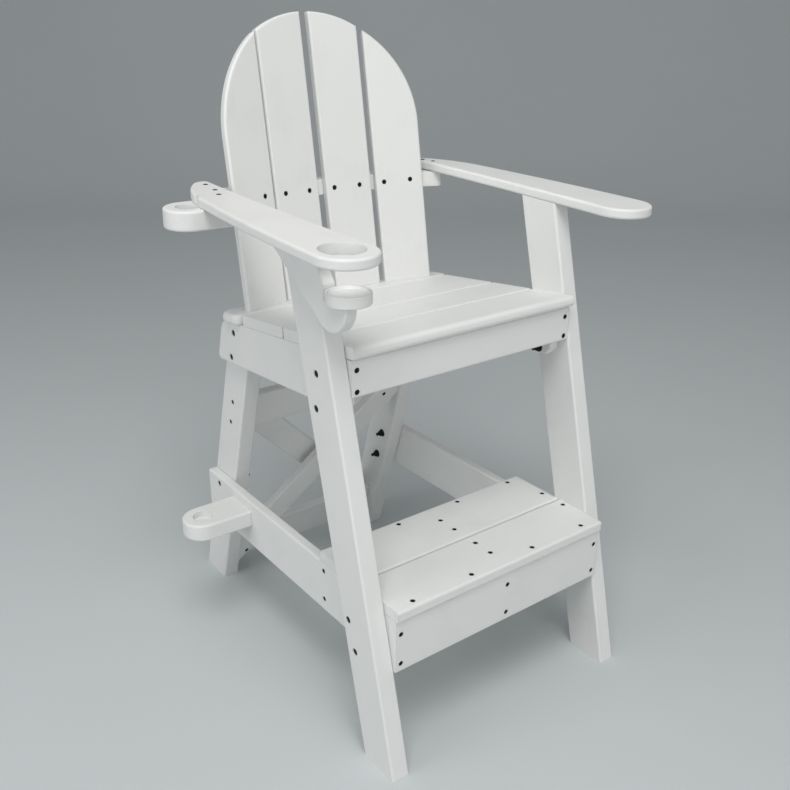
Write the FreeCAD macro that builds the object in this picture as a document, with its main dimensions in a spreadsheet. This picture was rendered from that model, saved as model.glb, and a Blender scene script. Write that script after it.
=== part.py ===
import FreeCAD, Part
import os
import re
import Sketcher

# Lifeguard chair of plastic lumber, in millimetres.
# Chair lines: X to the sitter's left is plus, the chair faces -Y, Z is up from the floor.
# Y is counted from the front edge of a front foot; shift_x and shift_y then move the whole
# chair so that the origin lies on the floor under the middle of its bounding box.

SIZES = [
    ("shift_x", 16.22, "centres the width, umbrella foot to right arm"),
    ("shift_y", -439.0, "centres the depth, front foot to rear foot"),
    # Stock
    ("board", 22.2, "thickness of the boards"),
    ("leg", 38.0, "thickness of legs, umbrella ring and umbrella foot"),
    ("plank", 88.9, "width of the common plank"),
    ("ease", 4.5, "radius on the long edges of every plank"),
    ("half_seat", 264.0, "middle plane to the inner face of a front leg"),
    # Legs
    ("front_leg_slope", 0.245, "front leg runs back per unit of height"),
    ("front_leg_run", 91.5, "front leg's width along Y"),
    ("rear_foot_y", 785.0, "front of the rear foot on the floor"),
    ("rear_leg_slope", 0.306, "rear leg runs forward per unit of height"),
    ("rear_leg_run", 93.0, "rear leg's width along Y"),
    # Seat frame
    ("apron_front_y", 173.6, "front face of the front apron"),
    ("apron_high", 69.2, "height of the front apron"),
    ("side_apron_in", 4.0, "side apron ends this far short of the rear leg's rear edge"),
    ("side_apron_drop", 133.3, "side apron's bottom line below seat_level, at Y = 0"),
    ("side_apron_fall", 0.083, "fall of the side apron's bottom line"),
    ("apron_corner", 31.0, "upper rear corner radius of a side apron"),
    ("apron_corner_low", 12.0, "lower rear corner radius of a side apron"),
    ("apron_clip", 14.0, "a side apron's lower front corner is cut off by this"),
    ("rear_apron_high", 84.0, "height of the rear apron"),
    ("cleat", 38.0, "height of the cleats"),
    # Seat
    ("seat_level", 810.5, "seat's top plane at Y = 0"),
    ("seat_fall", 0.112, "fall of the seat to the rear"),
    ("seat_front", 162.5, "front edge along the seat"),
    ("seat_width_1", 117.0, "width of the first seat board"),
    ("seat_width_2", 116.5, "width of the second seat board"),
    ("seat_width_3", 158.0, "width of the third seat board"),
    ("seat_past", 28.7, "seat's rear edge behind the back's front"),
    ("seat_end_half", 278.0, "half the length of the rear seat board"),
    ("seat_corner", 32.0, "corner radius at the seat's rear"),
    ("board_gap", 3.2, "gap between neighbouring boards"),
    ("nose", 9.0, "rounding on the seat's front edge"),
    # Back
    ("lean", 9.07, "back's lean from upright, degrees"),
    ("back_curve", 670.0, "radius of the curve the slats are set on"),
    ("back_y", 615.4, "front of the back's curve at back_z"),
    ("back_z", 746.0, "height of that point"),
    ("back_x", -3.0, "middle of the back"),
    ("slat_width", 111.6, "width of a back slat"),
    ("slat", 19.0, "thickness of a back slat"),
    ("slat_turn_1", 15.85, "first slat's turn on the curve, degrees"),
    ("slat_turn_2", 5.98, "second slat's turn"),
    ("slat_turn_3", -5.17, "third slat's turn"),
    ("slat_turn_4", -15.7, "fourth slat's turn"),
    ("arch_radius", 236.5, "radius of the arched top"),
    ("arch_spring", 334.0, "start of the arch, up the lean"),
    ("rail_low", 943.0, "underside of the back rail"),
    ("rail_high", 974.5, "top of the back rail"),
    ("rail_half", 292.0, "half the back rail's length"),
    ("rail_past", 87.6, "back rail's rear edge behind the back's front"),
    ("rail_tip", 55.4, "back rail's tips in front of the back's front"),
    ("rail_corner", 25.0, "corner radius at the back rail's rear"),
    ("slat_screw_half", 31.0, "half the pitch of a pair of slat screws"),
    # Arms
    ("arm_level", 953.7, "arm's underside at Y = 0"),
    ("arm_rise", 0.035, "rise of the arm to the rear"),
    ("arm", 19.0, "thickness of the arms"),
    ("arm_front", 111.0, "where the arm's round front begins"),
    ("arm_inner", 260.5, "arm's inner edge at the front"),
    ("arm_outer", 371.0, "arm's outer edge at the front"),
    ("arm_past", 66.6, "arm's rear end behind the back's front"),
    ("cup_x", 316.0, "cup hole from the middle plane"),
    ("cup_y", 118.0, "cup hole's centre along Y"),
    ("cup_hole", 76.0, "cup hole's diameter"),
    ("cup_disc", 75.5, "cup disc's diameter"),
    ("cup_disc_x", 302.6, "cup disc from the middle plane"),
    ("cup_disc_y", 122.0, "cup disc's centre along Y"),
    ("cup_seat", 887.5, "underside of the cup disc"),
    ("cup_dish", 4.5, "depth and rim of the cup disc's dish"),
    ("bracket_round", 48.0, "round nose of the cup bracket"),
    # Umbrella holders
    ("umbrella_bore", 43.6, "bore of the umbrella ring"),
    ("foot_snug", 1.2, "the umbrella foot's bore is narrower by this"),
    ("umbrella_x", 359.0, "umbrella pole from the middle plane"),
    ("ring_y", 568.5, "umbrella ring along Y"),
    ("ring_inner", 272.0, "inner end of the umbrella ring's block"),
    ("pole_room", 0.6, "arm's edge clears the bore by this"),
    ("foot_y", 617.0, "umbrella foot along Y"),
    ("foot_low", 256.0, "underside of the umbrella foot"),
    ("foot_deep", 14.0, "depth of the umbrella foot's bore"),
    # Step box
    ("rail_start", 66.2, "front end of the lower rails"),
    ("rail_short", 8.0, "lower rail ends this far short of the rear foot's front"),
    ("step_low", 202.0, "bottom of lower rails and riser"),
    ("step_high", 313.8, "underside of the treads"),
    ("nosing", 5.5, "front tread overhangs the riser"),
    ("tread_split", 159.3, "rear edge of the front tread"),
    ("tread_rear", 294.0, "rear edge of the rear tread"),
    ("tread_over", 1.8, "rear tread overhangs the step's back board"),
    # Rear bracing, with s up the rear legs and depth behind their front plane
    ("brace_depth", 33.0, "cross rails' front face behind the legs' front plane"),
    ("low_rail_s", 20.0, "start of the lower cross rail"),
    ("high_rail_s", 447.0, "start of the upper cross rail"),
    ("brace_width", 63.5, "width of the diagonals"),
    ("brace_low_s", 65.0, "lower end of a diagonal's middle line"),
    ("brace_high_s", 491.0, "upper end of a diagonal's middle line"),
    # Fasteners
    ("screw", 5.0, "screw shank"),
    ("screw_long", 38.0, "length of the board screws"),
    ("rail_screw_long", 74.0, "length of the upper cross rail's screws"),
    ("slat_screw_long", 38.0, "length of the slat, brace and arm screws"),
    ("screw_head", 9.6, "screw head"),
    ("recess", 10.4, "recess around a screw head"),
    ("recess_deep", 5.5, "depth of a screw's recess"),
    ("head_high", 2.4, "height of a screw head"),
    ("play", 0.6, "clearance holes are wider than their shanks by this"),
    ("bolt", 8.0, "bolt shank"),
    ("bolt_head", 13.0, "bolt head"),
    ("bolt_recess", 14.0, "recess around a bolt head"),
    ("bolt_recess_deep", 7.0, "depth of a bolt's recess"),
    ("bolt_head_high", 4.0, "height of a bolt head"),
    ("nut_wide", 13.0, "nut across flats"),
    ("nut_high", 6.5, "height of a nut"),
    ("washer_wide", 20.0, "diameter of a washer"),
    ("washer_high", 1.6, "thickness of a washer"),
]

doc = FreeCAD.newDocument("LifeguardChair")
sheet = doc.addObject("Spreadsheet::Sheet", "Sizes")
for row, (alias, value, note) in enumerate(SIZES, start=1):
    sheet.set(f"A{row}", note)
    sheet.set(f"B{row}", str(value))
    sheet.setAlias(f"B{row}", alias)
doc.recompute()

ALIASES = {alias for alias, value, note in SIZES}
NODES = []
ZERO_LIMIT = 1e-9


def linked(text):
    """Turns the sizes' names in a formula into cells of the sheet."""
    return re.sub(r"[a-z]\w*", lambda m: f"Sizes.{m[0]}" if m[0] in ALIASES else m[0], str(text))


def value_of(text):
    """The number that a formula of sizes gives now."""
    result = sheet.evalExpression(linked(text))
    return float(getattr(result, "Value", result))


def bind(thing, path, text):
    thing.setExpression(path, linked(text))


FLAT = "rotation(vector(0; 0; 1); 0)"
SIDE = "rotation(vector(1; 1; 1); 120)"
FRONT = "rotation(vector(1; 0; 0); 90)"
SEAT_TILT = "rotation(vector(1; 0; 0); -atan(seat_fall))"
ARM_TILT = "rotation(vector(1; 0; 0); atan(arm_rise))"
TURNED_OVER = " * rotation(vector(0; 1; 0); 180)"
LEG_TILT = "rotation(vector(1; 0; 0); 90 deg + atan(rear_leg_slope))"
BACK_LEAN = "rotation(vector(1; 0; 0); 90 - lean)"


def place(thing, x, y, z, turn=FLAT):
    """Puts a thing at chair coordinates, turned by one of the turns above."""
    spot = f"vector(shift_x + ({x}); shift_y + ({y}); {z})"
    bind(thing, "Placement", f"placement({spot}; {turn})")


def keep(thing, name):
    thing.Label = name
    NODES.append(thing)
    return thing


def new_body(name):
    body = doc.addObject("PartDesign::Body", name + "_body")
    return body


def new_sketch(body, name, height=0, role="XY_Plane"):
    sketch = body.newObject("Sketcher::SketchObject", name)
    plane = [item for item in body.Origin.OriginFeatures if item.Role == role][0]
    sketch.AttachmentSupport = (plane, [""])
    sketch.MapMode = "FlatFace"
    bind(sketch, "AttachmentOffset.Base.z", height)
    return sketch


def pin_one(sketch, item, end, kind, text):
    """Ties one coordinate of a sketch's point."""
    number = value_of(text)
    if abs(number) < ZERO_LIMIT:
        axis = -2 if kind == "DistanceX" else -1
        sketch.addConstraint(Sketcher.Constraint("PointOnObject", item, end, axis))
        return
    ends = (-1, 1, item, end) if number > 0 else (item, end, -1, 1)
    index = sketch.addConstraint(Sketcher.Constraint(kind, *ends, abs(number)))
    bind(sketch, f"Constraints[{index}]", text if number > 0 else f"-({text})")


def pin(sketch, item, end, x, y):
    """Ties one point of a sketch to its two coordinates."""
    pin_one(sketch, item, end, "DistanceX", x)
    pin_one(sketch, item, end, "DistanceY", y)


def pin_bow(sketch, item, corner, following):
    """Ties an arc's centre, so that the arc keeps its bow between two corners."""
    run = f"({following[0]} - ({corner[0]}))"
    rise = f"({following[1]} - ({corner[1]}))"
    bow = f"({following[2]})"
    reach = f"({bow}^2 - ({run}^2 + {rise}^2) / 4) / (2 * {bow} * sqrt({run}^2 + {rise}^2))"
    if abs(value_of(run)) > abs(value_of(rise)):
        pin_one(sketch, item, 3, "DistanceY", f"({following[1]} + {corner[1]}) / 2 - {run} * {reach}")
    else:
        pin_one(sketch, item, 3, "DistanceX", f"({following[0]} + {corner[0]}) / 2 + {rise} * {reach}")


def draw_outline(sketch, corners):
    """Closed outline, counter-clockwise. A corner is (x, y) or (x, y, bow).

    The bow is how far the side that ends in this corner swells outwards.
    """
    count = len(corners)
    points = [FreeCAD.Vector(value_of(c[0]), value_of(c[1]), 0) for c in corners]
    ends = []
    for index in range(count):
        start, stop = points[index], points[(index + 1) % count]
        following = corners[(index + 1) % count]
        if len(following) == 2:
            sketch.addGeometry(Part.LineSegment(start, stop), False)
            ends.append((1, 2))
            continue
        along = stop - start
        outward = FreeCAD.Vector(along.y, -along.x, 0).normalize()
        bow = value_of(following[2])
        middle = (start + stop) * 0.5 + outward * bow
        sketch.addGeometry(Part.Arc(start, middle, stop), False)
        ends.append((1, 2) if bow > 0 else (2, 1))
        pin_bow(sketch, index, corners[index], following)
    for index in range(count):
        after = (index + 1) % count
        sketch.addConstraint(
            Sketcher.Constraint("Coincident", index, ends[index][1], after, ends[after][0]))
        pin(sketch, index, ends[index][0], corners[index][0], corners[index][1])


def draw_circles(sketch, centres, diameter):
    for index, (x, y) in enumerate(centres):
        centre = FreeCAD.Vector(value_of(x), value_of(y), 0)
        radius = value_of(diameter) / 2
        sketch.addGeometry(Part.Circle(centre, FreeCAD.Vector(0, 0, 1), radius), False)
        rule = sketch.addConstraint(Sketcher.Constraint("Diameter", index, radius * 2))
        bind(sketch, f"Constraints[{rule}]", diameter)
        pin(sketch, index, 3, x, y)


def pad_outline(body, name, corners, thickness, height=0):
    sketch = new_sketch(body, name + "_outline", height)
    draw_outline(sketch, corners)
    pad = body.newObject("PartDesign::Pad", name + "_pad")
    pad.Profile = sketch
    bind(pad, "Length", thickness)
    doc.recompute()
    return pad


def near(edge, spot):
    """True where a pad's upright edge stands at the given corner."""
    middle = edge.CenterOfMass
    x, y = value_of(spot[0]), value_of(spot[1])
    return abs(middle.x - x) < 0.01 and abs(middle.y - y) < 0.01


def round_edges(body, name, feature, picked, radius):
    """Rounds the picked edges of a feature by one radius."""
    names = [f"Edge{i}" for i, edge in enumerate(feature.Shape.Edges, start=1) if picked(edge)]
    if not names:
        raise ValueError(f"{name}: no edge to round")
    fillet = body.newObject("PartDesign::Fillet", name)
    fillet.Base = (feature, names)
    bind(fillet, "Radius", radius)
    doc.recompute()
    return fillet


def upright(edge):
    """True for a straight edge that runs through the board's thickness."""
    if edge.Curve.TypeId != "Part::GeomLine":
        return False
    return abs(abs(edge.Curve.Direction.z) - 1) < 1e-6


def drill(body, name, centres, diameter, depth=None, height=0, upward=True):
    """Round pockets that start at a height and run up or down; no depth means through."""
    sketch = new_sketch(body, name + "_centres", height)
    draw_circles(sketch, centres, diameter)
    before = body.Shape.Volume
    pocket = body.newObject("PartDesign::Pocket", name)
    pocket.Profile = sketch
    pocket.Reversed = upward
    if depth is None:
        pocket.Type = "ThroughAll"
    else:
        bind(pocket, "Length", depth)
    doc.recompute()
    if not body.Shape.Volume < before - 1:
        raise ValueError(f"{name}: nothing was drilled")
    return pocket


def board(name, corners, thickness, spot, turn=FLAT, corner_rounds=(), ease="ease", edges=None):
    """A plank: its outline padded to a thickness, corners rounded, long edges eased."""
    body = new_body(name)
    feature = pad_outline(body, name, corners, thickness)
    for index, (spots, radius) in enumerate(corner_rounds, start=1):
        def at_corner(edge, spots=spots):
            return upright(edge) and any(near(edge, item) for item in spots)
        feature = round_edges(body, f"{name}_corner_{index}", feature, at_corner, radius)
    if ease:
        def long_edge(edge):
            return not upright(edge) and (edges is None or edges(edge))
        feature = round_edges(body, name + "_ease", feature, long_edge, ease)
    place(body, *spot, turn)
    return keep(body, name)


def box(x_low, x_high, y_low, y_high):
    """Corners of a rectangle, counter-clockwise."""
    return [(x_low, y_low), (x_high, y_low), (x_high, y_high), (x_low, y_high)]


def along_x(edge):
    """True for the edges that run along the sketch's X, a plank's long edges."""
    return edge.BoundBox.XLength > 2 * edge.BoundBox.YLength


def long_across(edge):
    """True for an edge as long as the seat is wide."""
    return edge.BoundBox.XLength > value_of("half_seat")


def along_y(edge):
    return edge.BoundBox.YLength > 2 * edge.BoundBox.XLength


def screw_holes(body, name, centres, upward, height=0):
    """Recess and clearance hole for screws, from the face that the heads sit in."""
    drill(body, name + "_recess", centres, "recess", "recess_deep", height, upward)
    drill(body, name + "_clearance", centres, "screw + play", None, height, upward)


def bolt_holes(body, name, centres, upward, height=0):
    drill(body, name + "_recess", centres, "bolt_recess", "bolt_recess_deep", height, upward)
    drill(body, name + "_clearance", centres, "bolt + play", None, height, upward)


# Lines shared by several pieces
UNDER_SEAT = "(seat_level - board * sqrt(1 + seat_fall^2))"
UNDER_ARM = "arm_level"
LEG_BACK = "(half_seat - board - leg)"


def seat_line(y):
    """Height of the seat's underside above a depth."""
    return f"({UNDER_SEAT} - seat_fall * ({y}))"


def arm_line(y):
    """Height of the arm's underside above a depth."""
    return f"(arm_level + arm_rise * ({y}))"


def arm_meets(run):
    """Height at which a line of the front leg, offset by a run, meets the arm."""
    return f"((arm_level + arm_rise * ({run})) / (1 - arm_rise * front_leg_slope))"


def rear_leg_meets(run):
    """Height at which a line of the rear leg, offset by a run, meets the seat."""
    return f"(({UNDER_SEAT} - seat_fall * (rear_foot_y + {run})) / (1 - seat_fall * rear_leg_slope))"


def in_front_leg(share, height):
    """A spot at a share of the front leg's width, at a height."""
    return f"(front_leg_slope * ({height}) + {share} * front_leg_run)", height


def in_rear_leg(share, height):
    """A spot at a share of the rear leg's width, at a height."""
    return f"(rear_foot_y - rear_leg_slope * ({height}) + {share} * rear_leg_run)", height


SEAT_END = "(back_y + seat_past)"
RAIL_REAR = "(back_y + rail_past)"
ARM_END = "(back_y + arm_past)"
RAIL_STOP = "(rear_foot_y - rail_short)"
TREAD_FRONT = "(rail_start - board - nosing)"
BACK_BOARD_Y = "(tread_rear - tread_over - board)"
APRON_BOTTOM = f"({seat_line('apron_front_y + board')} - apron_high)"
REAR_APRON_Y = f"(rear_foot_y - rear_leg_slope * {rear_leg_meets('0')} - board_gap - board)"
SLAT_SCREW_S = "((rail_low / 2 + rail_high / 2 - back_z) / cos(lean))"

BOLTS_FRONT_APRON = [in_front_leg(0.5, "(seat_level - 74.5)"), in_front_leg(0.71, "(seat_level - 140.5)")]
BOLTS_FRONT_RAIL = [in_front_leg(0.78, "(step_high - 33.8)"), in_front_leg(0.71, "(step_low + 19)")]
BOLTS_REAR_APRON = [in_rear_leg(0.35, "(seat_level - 112.5)"), in_rear_leg(0.335, "(seat_level - 169.5)")]
BOLTS_REAR_RAIL = [in_rear_leg(0.343, "(step_high - 16.8)"), in_rear_leg(0.356, "(step_low + 27)")]
BRACE_SCREWS_HIGH = ["(high_rail_s + 0.87 * plank)", "(high_rail_s + 0.25 * plank)"]
CLEAT_Y = f"({BOLTS_FRONT_APRON[1][0]} + washer_wide)"
SIDES = (("left", -1), ("right", 1))

bolts = []
step_board_screws = []
brace_screws = []

for side, sign in SIDES:
    outward = sign > 0

    # Front leg: outer face lies one leg thickness outside half_seat.
    name = side + "_front_leg"
    top_front, top_rear = arm_meets("0"), arm_meets("front_leg_run")
    leg_corners = [("0", "0"), ("front_leg_run", "0"),
                   (f"front_leg_run + front_leg_slope * {top_rear}", top_rear),
                   (f"front_leg_slope * {top_front}", top_front)]
    start = "half_seat" if outward else "-half_seat - leg"
    body = board(name, leg_corners, "leg", (start, 0, 0), SIDE, edges=along_y)
    face = "leg" if outward else 0
    spots = BOLTS_FRONT_APRON + BOLTS_FRONT_RAIL
    bolt_holes(body, name, spots, not outward, face)

    # Rear leg: stands inside the side apron and the lower rail.
    name = side + "_rear_leg"
    top_front, top_rear = rear_leg_meets("0"), rear_leg_meets("rear_leg_run")
    leg_corners = [("rear_foot_y", "0"), ("rear_foot_y + rear_leg_run", "0"),
                   (f"rear_foot_y + rear_leg_run - rear_leg_slope * {top_rear}", top_rear),
                   (f"rear_foot_y - rear_leg_slope * {top_front}", top_front)]
    start = LEG_BACK if outward else "board - half_seat"
    body = board(name, leg_corners, "leg", (start, 0, 0), SIDE, edges=along_y)
    drill(body, name + "_bolt_holes", BOLTS_REAR_APRON + BOLTS_REAR_RAIL, "bolt + play")
    spots = [(f"rear_foot_y - {s} * sin(atan(rear_leg_slope))"
              f" + (brace_depth + board / 2) * cos(atan(rear_leg_slope))",
              f"{s} * cos(atan(rear_leg_slope)) + (brace_depth + board / 2) * sin(atan(rear_leg_slope))")
             for s in BRACE_SCREWS_HIGH]
    screw_holes(body, name + "_brace", spots, not outward, face)
    x_face = f"{sign} * (half_seat - board)"
    brace_screws += [(x_face, y, z, sign) for y, z in spots]

    # Side apron, under the seat
    name = side + "_side_apron"
    start_y = "apron_front_y + board"
    reach = "(rear_foot_y + rear_leg_run - side_apron_in)"
    low = "(seat_level - side_apron_drop)"
    end_low = f"(({low} - side_apron_fall * {reach}) / (1 - side_apron_fall * rear_leg_slope))"
    end_high = f"(({UNDER_SEAT} - seat_fall * {reach}) / (1 - seat_fall * rear_leg_slope))"
    clip_y = f"({start_y} + apron_clip)"
    apron_corners = [(start_y, f"{low} - side_apron_fall * ({start_y}) + apron_clip"),
                     (clip_y, f"{low} - side_apron_fall * {clip_y}"),
                     (f"{reach} - rear_leg_slope * {end_low}", end_low),
                     (f"{reach} - rear_leg_slope * {end_high}", end_high),
                     (start_y, seat_line(start_y))]
    start = "half_seat - board" if outward else "-half_seat"
    body = board(name, apron_corners, "board", (start, 0, 0), SIDE,
                 corner_rounds=[([apron_corners[3]], "apron_corner"),
                                ([apron_corners[2]], "apron_corner_low")])
    face = "board" if outward else 0
    drill(body, name + "_bolt_holes", BOLTS_FRONT_APRON, "bolt + play")
    bolt_holes(body, name, BOLTS_REAR_APRON, not outward, face)

    # Lower rail, from the riser to the rear leg
    name = side + "_lower_rail"
    body = board(name, box("rail_start", RAIL_STOP, "step_low", "step_high"), "board",
                 (start, 0, 0), SIDE, edges=along_x)
    drill(body, name + "_bolt_holes", BOLTS_FRONT_RAIL, "bolt + play")
    bolt_holes(body, name, BOLTS_REAR_RAIL, not outward, face)
    spots = [(f"{BACK_BOARD_Y} + board / 2", f"{share} * step_high + {1 - share} * step_low")
             for share in (0.83, 0.25)]
    screw_holes(body, name + "_board", spots, not outward, face)
    step_board_screws += [(f"{sign} * half_seat", y, z, sign) for y, z in spots]

    # Seat cleat, inside the side apron
    name = side + "_seat_cleat"
    cleat_corners = [(CLEAT_Y, f"{seat_line(CLEAT_Y)} - cleat"),
                     (REAR_APRON_Y, f"{seat_line(REAR_APRON_Y)} - cleat"),
                     (REAR_APRON_Y, seat_line(REAR_APRON_Y)), (CLEAT_Y, seat_line(CLEAT_Y))]
    start = "half_seat - 2 * board" if outward else "board - half_seat"
    board(name, cleat_corners, "board", (start, 0, 0), SIDE, ease=None)

    for y, z in BOLTS_FRONT_APRON + BOLTS_FRONT_RAIL:
        bolts.append((f"{sign} * (half_seat + leg)", y, z, sign))
    for y, z in BOLTS_REAR_APRON + BOLTS_REAR_RAIL:
        bolts.append((f"{sign} * half_seat", y, z, sign))

# Aprons across the seat frame
body = board("front_apron", box("-half_seat", "half_seat", APRON_BOTTOM, f"{APRON_BOTTOM} + apron_high"),
             "board", (0, "apron_front_y + board", 0), FRONT, edges=along_x)
APRON_SCREWS = [(f"{sign} * (half_seat - board / 2)", z) for side, sign in SIDES
                for z in (f"{APRON_BOTTOM} + 0.73 * apron_high", f"{APRON_BOTTOM} + 0.15 * apron_high")]
screw_holes(body, "front_apron", APRON_SCREWS, False, "board")
rear_apron_top = seat_line(f"{REAR_APRON_Y} + board")
board("rear_apron", box("board - half_seat", "half_seat - board", f"{rear_apron_top} - rear_apron_high",
                        rear_apron_top),
      "board", (0, f"{REAR_APRON_Y} + board", 0), FRONT, edges=along_x)

# Seat boards, laid along the fall of the seat
seat_start = "seat_front"
for index in range(1, 5):
    name = f"seat_board_{index}"
    seat_stop = f"{seat_start} + seat_width_{index}" if index < 4 else SEAT_END
    half = "half_seat" if index < 4 else "seat_end_half"
    seat_corners = box(f"-{half}", half, seat_start, seat_stop)
    body = new_body(name)
    feature = pad_outline(body, name, seat_corners, "board")
    if index == 4:
        for ending, corners, radius in (("rear", seat_corners[2:], "seat_corner"),
                                        ("front", seat_corners[:2], "seat_corner / 1.6")):
            feature = round_edges(
                body, f"{name}_{ending}_corners", feature,
                lambda edge, corners=corners: upright(edge) and any(near(edge, spot) for spot in corners),
                radius)
        feature = round_edges(body, name + "_nose", feature, lambda edge: not upright(edge), "nose")
    elif index == 1:
        middle = value_of(f"{seat_start} + seat_width_1 / 2")
        feature = round_edges(body, name + "_nose", feature,
                              lambda edge: along_x(edge) and edge.CenterOfMass.y < middle, "nose")
        feature = round_edges(body, name + "_ease", feature,
                              lambda edge: long_across(edge) and edge.CenterOfMass.y > middle, "ease")
    else:
        feature = round_edges(body, name + "_ease", feature, along_x, "ease")
    place(body, 0, 0, UNDER_SEAT, SEAT_TILT)
    keep(body, name)
    seat_start = f"{seat_stop} + board_gap"

# Step box
END_SCREW = "(half_seat - board / 2)"
FRONT_DEEP = f"(tread_split - {TREAD_FRONT})"
REAR_DEEP = "(tread_rear - tread_split)"
OVER_BACK = f"({BACK_BOARD_Y} + board / 2)"
OVER_RISER = "(rail_start - board / 2)"


def mirrored(x, y):
    return [(f"-{x}", y), (x, y)]


tread_screws_rear = (mirrored("0.86 * half_seat", OVER_BACK) + mirrored("0.3 * half_seat", OVER_BACK)
                     + mirrored(END_SCREW, f"tread_split + 0.295 * {REAR_DEEP}")
                     + [("0", f"tread_split + {share} * {REAR_DEEP}") for share in (0.614, 0.287)])
tread_screws_front = (mirrored("0.83 * half_seat", OVER_RISER) + mirrored("0.3 * half_seat", OVER_RISER)
                      + mirrored(END_SCREW, f"tread_split - 0.185 * {FRONT_DEEP}")
                      + [("0", f"tread_split - {share} * {FRONT_DEEP}") for share in (0.214, 0.574)])
for name, low, high, spots in (("front_tread", TREAD_FRONT, "tread_split", tread_screws_front),
                               ("rear_tread", "tread_split + board_gap", "tread_rear", tread_screws_rear)):
    body = board(name, box("-half_seat", "half_seat", low, high), "board", (0, 0, "step_high"), FLAT,
                 edges=along_x)
    screw_holes(body, name, spots, False, "board")
body = board("riser", box("-half_seat", "half_seat", "step_low", "step_high"), "board",
             (0, "rail_start", 0), FRONT, edges=along_x)
RISER_SCREWS = [(x, f"{share} * step_high + {1 - share} * step_low")
                for x in (f"-{END_SCREW}", "7", END_SCREW) for share in (0.73, 0.16)]
screw_holes(body, "riser", RISER_SCREWS, False, "board")
board("step_back_board", box("board - half_seat", "half_seat - board", "step_low", "step_high"), "board",
      (0, f"{BACK_BOARD_Y} + board", 0), FRONT, edges=along_x)
board("step_centre_cleat", box("rail_start", BACK_BOARD_Y, "step_low", "step_high"), "cleat",
      ("-cleat / 2", 0, 0), SIDE, ease=None)

# Rear bracing, in the plane of the leaning rear legs
BRACE_HALF = f"({LEG_BACK})"
for name, low in (("lower_brace_rail", "low_rail_s"), ("upper_brace_rail", "high_rail_s")):
    high = f"{low} + plank"
    depth = "-brace_depth - board"
    body = new_body(name)
    rail_corners = box(f"-{BRACE_HALF}", BRACE_HALF, low, high)
    feature = pad_outline(body, name, rail_corners, "board", depth)
    feature = round_edges(body, name + "_ease", feature, along_x, "ease")
    place(body, 0, "rear_foot_y", 0, LEG_TILT)
    keep(body, name)
half_high = f"(brace_width / 2 * sqrt(1 + ((brace_high_s - brace_low_s) / (2 * {BRACE_HALF}))^2))"
BRACE_ENDS = (("front_brace", 1, "-brace_depth"), ("rear_brace", -1, "-brace_depth - 2 * board"))
brace_face_screws = []
for name, rise, depth in BRACE_ENDS:
    left_s = "brace_low_s" if rise > 0 else "brace_high_s"
    right_s = "brace_high_s" if rise > 0 else "brace_low_s"
    corners = [(f"-{BRACE_HALF}", f"{left_s} - {half_high}"), (BRACE_HALF, f"{right_s} - {half_high}"),
               (BRACE_HALF, f"{right_s} + {half_high}"), (f"-{BRACE_HALF}", f"{left_s} + {half_high}")]
    body = new_body(name)
    feature = pad_outline(body, name, corners, "board", depth)
    feature = round_edges(body, name + "_ease", feature,
                          lambda edge: edge.BoundBox.XLength > value_of("half_seat"), "ease")
    heads_in_front = rise > 0
    height = f"{depth} + board" if heads_in_front else depth
    spots = [(f"{-rise} * 0.88 * {BRACE_HALF}", "brace_low_s - 8"),
             (f"{rise} * 0.8 * {BRACE_HALF}", "high_rail_s + 8")]
    screw_holes(body, name, spots, not heads_in_front, height)
    place(body, 0, "rear_foot_y", 0, LEG_TILT)
    keep(body, name)
    brace_face_screws += [(x, s, height, heads_in_front) for x, s in spots]

# Back: slats set on one curve, then arched together and cut to the seat
CURVE_X = "back_x"
CURVE_Y = "(back_y - back_curve * cos(lean))"
CURVE_Z = "(back_z + back_curve * sin(lean))"
BELOW_SEAT = "(-slat_width)"
arch_sides = [("-arch_radius", BELOW_SEAT), ("arch_radius", BELOW_SEAT), ("arch_radius", "arch_spring"),
              ("-arch_radius", "arch_spring", "arch_radius")]
SCREW_SHIFT = {1: -2, 2: 0, 3: -5, 4: -6}


def back_tool(name, corners, low, thickness):
    """A cutting shape in the curve's own frame."""
    body = new_body(name)
    pad_outline(body, name, corners, thickness, low)
    place(body, CURVE_X, CURVE_Y, CURVE_Z, BACK_LEAN)
    body.Label = name
    return body


ground = doc.addObject("Part::Box", "under_seat_block")
bind(ground, "Length", "4 * half_seat")
bind(ground, "Width", "4 * half_seat")
bind(ground, "Height", "half_seat")
place(ground, "-2 * half_seat", 0, f"seat_level - half_seat * sqrt(1 + seat_fall^2)", SEAT_TILT)

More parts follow.
